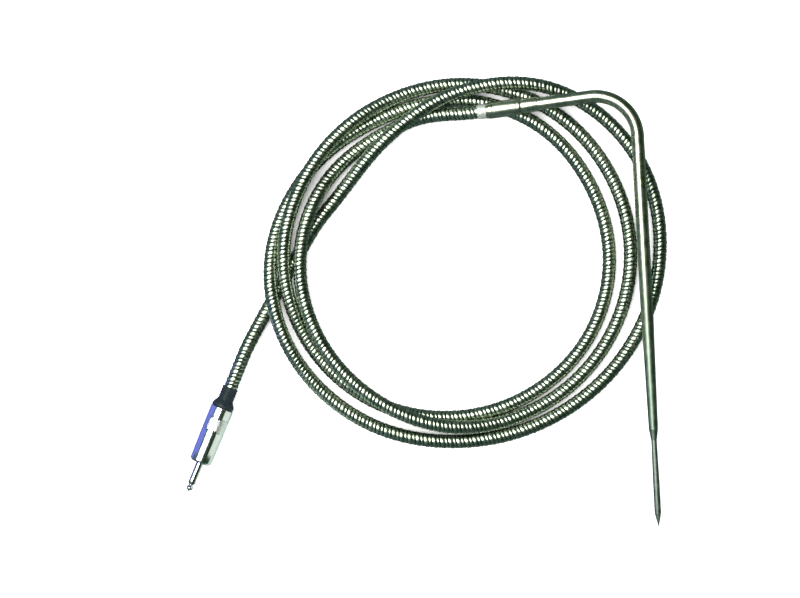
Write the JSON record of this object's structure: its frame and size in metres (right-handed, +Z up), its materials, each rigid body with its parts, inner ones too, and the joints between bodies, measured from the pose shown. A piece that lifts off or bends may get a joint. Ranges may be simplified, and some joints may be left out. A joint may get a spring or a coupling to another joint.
{
  "type": "penetration thermocouple probe",
  "caption": "Right-angled steel needle probe with a welded tip sensor, on a loosely coiled armoured steel cable that ends in a slim jack plug.",
  "frame": {"origin": "on the surface the part lies on, under the middle of the rigid probe's box, cable and plug left out", "axes": "+Z up from the surface, +Y from the needle's tip towards the bend, +X from the coil towards the probe's leg"},
  "size_m": [0.2346, 0.2197, 0.022],
  "materials": {
    "stem_steel": "bright drawn stainless steel, fine scratches along its length",
    "needle_steel": "ground stainless steel, slightly darker than the stem",
    "armour_steel": "interlocked stainless strip, bright ridges and dark grooves",
    "braze": "dull, frosted braze metal",
    "weld_bead": "welded bead, dark",
    "positive_insulation": "matt coloured insulation",
    "negative_insulation": "matt pale insulation",
    "mineral_fill": "packed white mineral powder",
    "glass_sleeving": "woven glass-fibre sleeving",
    "potting_resin": "cast black resin",
    "boot_rubber": "soft black rubber, satin",
    "plug_chrome": "bright nickel-chrome plate",
    "liner_plastic": "translucent moulded plastic",
    "insulator_plastic": "black moulded plastic",
    "lug_brass": "stamped brass, tarnished",
    "solder": "bright solder"
  },
  "bodies": {
    "probe_and_cable": {"stem_tube": "stem_steel", "reducer_cone": "stem_steel", "needle_tube": "needle_steel", "spear_point": "needle_steel", "hot_junction": "weld_bead", "positive_wire": "positive_insulation", "negative_wire": "negative_insulation", "needle_insulation": "mineral_fill", "stem_sleeving": "glass_sleeving", "stem_bush": "stem_steel", "ferrule": "stem_steel", "braze_collar": "braze", "potting_plug": "potting_resin", "cable_lead": "armour_steel", "cable_coil": "armour_steel", "cable_tail": "armour_steel", "plug_sleeve": "plug_chrome", "sleeve_insulator": "insulator_plastic", "tip_contact": "plug_chrome", "rear_insulator": "insulator_plastic", "sleeve_lug": "lug_brass", "tip_lug": "lug_brass", "lead_core_end": "glass_sleeving", "positive_lead": "positive_insulation", "negative_lead": "negative_insulation", "solder_joints": "solder"},
    "boot": {"plug_boot": "boot_rubber"},
    "shell": {"plug_shell": "plug_chrome", "shell_liner": "liner_plastic"}
  },
  "joints": [
    {"name": "shell_pull_back", "type": "slide", "parent": "probe_and_cable", "child": "boot", "axis": [0.3778, 0.9259, 0], "range_m": [0, 0.016]},
    {"name": "shell_turn", "type": "hinge", "parent": "boot", "child": "shell", "pos_m": [-0.1686, -0.0486, 0.0056], "axis": [-0.3778, -0.9259, 0], "continuous": true}
  ]
}
